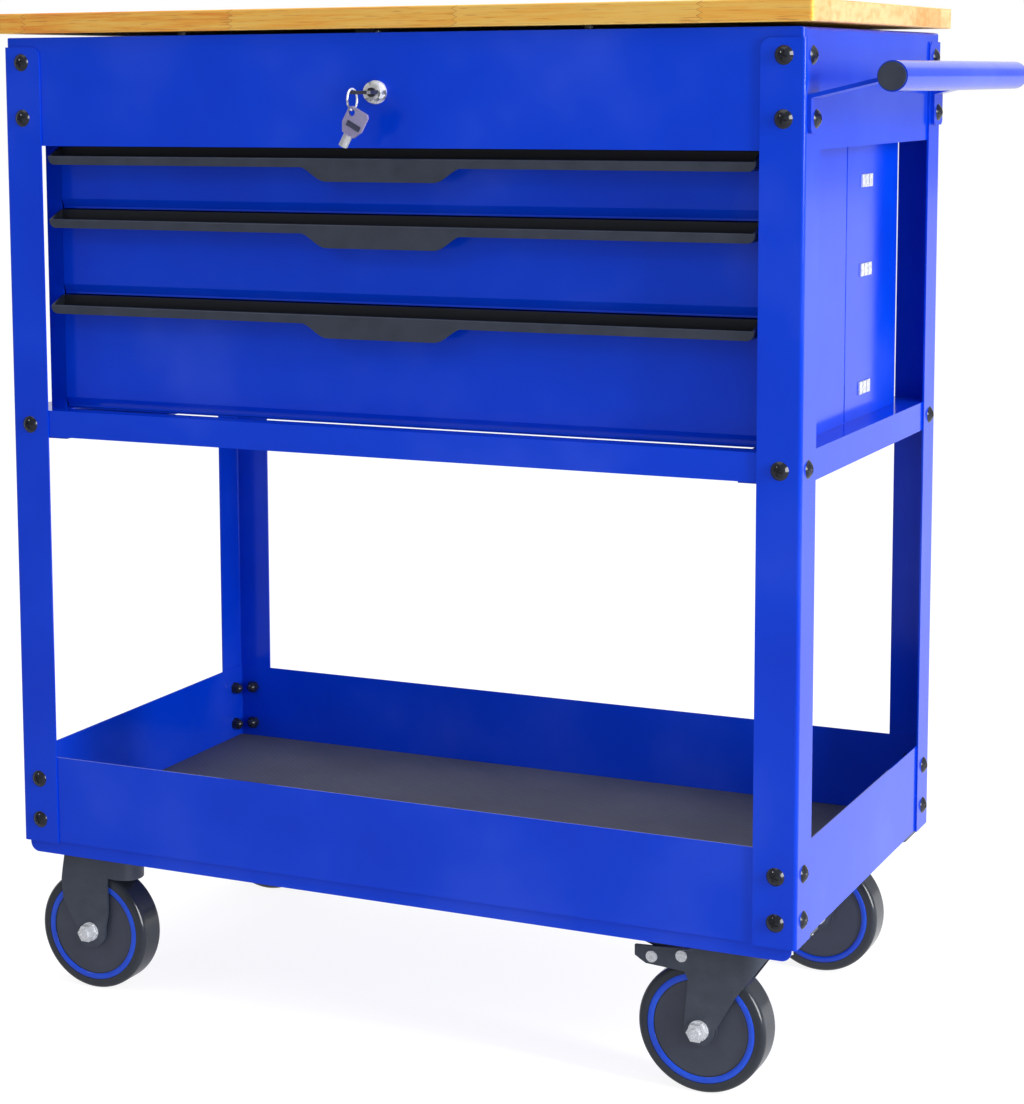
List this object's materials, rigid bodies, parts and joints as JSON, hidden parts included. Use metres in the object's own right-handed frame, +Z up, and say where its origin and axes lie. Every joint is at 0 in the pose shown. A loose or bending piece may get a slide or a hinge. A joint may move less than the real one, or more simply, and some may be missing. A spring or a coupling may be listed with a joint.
{
  "type": "rolling tool chest",
  "caption": "Rolling tool cart with a lockable box under a hinged wooden top, slide-out drawers, an open bottom tray and a push handle on swivel and rigid casters.",
  "frame": {"origin": "on the floor under the centre of the bounding box", "axes": "+Z up, +Y to the back, +X to the push-handle side; the drawers open towards -Y"},
  "size_m": [0.7559, 0.4094, 0.8216],
  "materials": {
    "powder_coat": "glossy powder coat",
    "handle_black": "satin moulded plastic",
    "fastener_black": "black oxide, slight gloss",
    "zinc": "bright zinc plate",
    "caster_black": "satin black powder coat",
    "wood": "clear satin lacquer on finger-jointed strips",
    "tyre": "satin rubber",
    "hub": "moulded plastic",
    "liner": "matt ribbed mat",
    "bumper": "soft rubber",
    "chrome": "polished",
    "key_plastic": "moulded bow",
    "key_black": "moulded bow"
  },
  "bodies": {
    "frame": {"post_front_left": "powder_coat", "post_front_right": "powder_coat", "post_rear_left": "powder_coat", "post_rear_right": "powder_coat", "mid_frame": "powder_coat", "top_box": "powder_coat", "bottom_tray": "powder_coat", "tray_liner": "liner", "cabinet_shell": "powder_coat", "cabinet_floor": "powder_coat", "slide_outer_members": "zinc", "lid_hinge_lower": "zinc", "lid_hinge_pins": "zinc", "lock_body": "chrome", "push_handle_tube": "powder_coat", "handle_brackets": "powder_coat", "handle_caps": "handle_black", "frame_bolts": "fastener_black", "frame_nuts": "fastener_black", "rigid_fork_front": "caster_black", "rigid_fork_rear": "caster_black", "rigid_axles": "zinc", "swivel_plates": "caster_black", "caster_bolts": "zinc"},
    "lid": {"wood_top": "wood", "lid_hinge_upper": "zinc", "lid_catch": "fastener_black", "lid_bumpers": "bumper", "lid_screws": "zinc"},
    "lock_turning": {"lock_plug": "chrome", "lock_cam": "zinc", "inserted_key": "key_black"},
    "hanging_ring": {"key_ring": "chrome"},
    "hanging_key": {"spare_key": "key_plastic"},
    "drawer_1": {"drawer_box_1": "powder_coat", "drawer_handle_1": "handle_black", "slide_inner_1": "zinc"},
    "slide_1": {"slide_middle_1": "zinc"},
    "drawer_2": {"drawer_box_2": "powder_coat", "drawer_handle_2": "handle_black", "slide_inner_2": "zinc"},
    "slide_2": {"slide_middle_2": "zinc"},
    "drawer_3": {"drawer_box_3": "powder_coat", "drawer_handle_3": "handle_black", "slide_inner_3": "zinc"},
    "slide_3": {"slide_middle_3": "zinc"},
    "swivel_front": {"swivel_fork_front": "caster_black", "fork_hardware_front": "zinc"},
    "brake_front": {"brake_lever_front": "caster_black"},
    "wheel_front_left": {"wheel_hub_front_left": "hub", "wheel_tyre_front_left": "tyre"},
    "wheel_front_right": {"wheel_hub_front_right": "hub", "wheel_tyre_front_right": "tyre"},
    "swivel_rear": {"swivel_fork_rear": "caster_black", "fork_hardware_rear": "zinc"},
    "brake_rear": {"brake_lever_rear": "caster_black"},
    "wheel_rear_left": {"wheel_hub_rear_left": "hub", "wheel_tyre_rear_left": "tyre"},
    "wheel_rear_right": {"wheel_hub_rear_right": "hub", "wheel_tyre_rear_right": "tyre"}
  },
  "joints": [
    {"name": "lid_hinge", "type": "hinge", "parent": "frame", "child": "lid", "pos_m": [-0.03495, 0.20154, 0.8022], "axis": [-1, 0, 0], "range_deg": [0, 95]},
    {"name": "lock_turn", "type": "hinge", "parent": "frame", "child": "lock_turning", "pos_m": [-0.03495, -0.17336, 0.7572], "axis": [0, -1, 0], "range_deg": [0, 90]},
    {"name": "key_ring_hang", "type": "hinge", "parent": "lock_turning", "child": "hanging_ring", "pos_m": [-0.03995, -0.19086, 0.7572], "axis": [-0.5774, 0.5774, -0.5774], "range_deg": [0, 120]},
    {"name": "spare_key_swing", "type": "hinge", "parent": "hanging_ring", "child": "hanging_key", "pos_m": [-0.03995, -0.19604, 0.74411], "axis": [0, 1, 0], "range_deg": [-25, 35]},
    {"name": "drawer_1_slide", "type": "slide", "parent": "frame", "child": "drawer_1", "axis": [0, -1, 0], "range_m": [0, 0.24]},
    {"name": "slide_1_run", "type": "slide", "parent": "frame", "child": "slide_1", "axis": [0, -1, 0], "range_m": [0, 0.12]},
    {"name": "drawer_2_slide", "type": "slide", "parent": "frame", "child": "drawer_2", "axis": [0, -1, 0], "range_m": [0, 0.24]},
    {"name": "slide_2_run", "type": "slide", "parent": "frame", "child": "slide_2", "axis": [0, -1, 0], "range_m": [0, 0.12]},
    {"name": "drawer_3_slide", "type": "slide", "parent": "frame", "child": "drawer_3", "axis": [0, -1, 0], "range_m": [0, 0.24]},
    {"name": "slide_3_run", "type": "slide", "parent": "frame", "child": "slide_3", "axis": [0, -1, 0], "range_m": [0, 0.12]},
    {"name": "swivel_front_turn", "type": "hinge", "parent": "frame", "child": "swivel_front", "pos_m": [0.25705, -0.13246, 0.1165], "axis": [0, 0, 1], "continuous": true},
    {"name": "brake_front_press", "type": "hinge", "parent": "swivel_front", "child": "brake_front", "pos_m": [0.21005, -0.13246, 0.1074], "axis": [0, -1, 0], "range_deg": [0, 6]},
    {"name": "wheel_front_left_roll", "type": "hinge", "parent": "frame", "child": "wheel_front_left", "pos_m": [-0.32195, -0.13246, 0.051], "axis": [0, 1, 0], "continuous": true},
    {"name": "wheel_front_right_roll", "type": "hinge", "parent": "swivel_front", "child": "wheel_front_right", "pos_m": [0.22405, -0.13246, 0.051], "axis": [0, 1, 0], "continuous": true},
    {"name": "swivel_rear_turn", "type": "hinge", "parent": "frame", "child": "swivel_rear", "pos_m": [0.25705, 0.16494, 0.1165], "axis": [0, 0, 1], "continuous": true},
    {"name": "brake_rear_press", "type": "hinge", "parent": "swivel_rear", "child": "brake_rear", "pos_m": [0.21005, 0.16494, 0.1074], "axis": [0, -1, 0], "range_deg": [0, 6]},
    {"name": "wheel_rear_left_roll", "type": "hinge", "parent": "frame", "child": "wheel_rear_left", "pos_m": [-0.32195, 0.16494, 0.051], "axis": [0, 1, 0], "continuous": true},
    {"name": "wheel_rear_right_roll", "type": "hinge", "parent": "swivel_rear", "child": "wheel_rear_right", "pos_m": [0.22405, 0.16494, 0.051], "axis": [0, 1, 0], "continuous": true}
  ],
  "couplings": [
    {"joint": "key_ring_hang", "follows": "lock_turn", "ratio": 1.3333},
    {"joint": "slide_1_run", "follows": "drawer_1_slide", "ratio": 0.5},
    {"joint": "slide_2_run", "follows": "drawer_2_slide", "ratio": 0.5},
    {"joint": "slide_3_run", "follows": "drawer_3_slide", "ratio": 0.5}
  ]
}
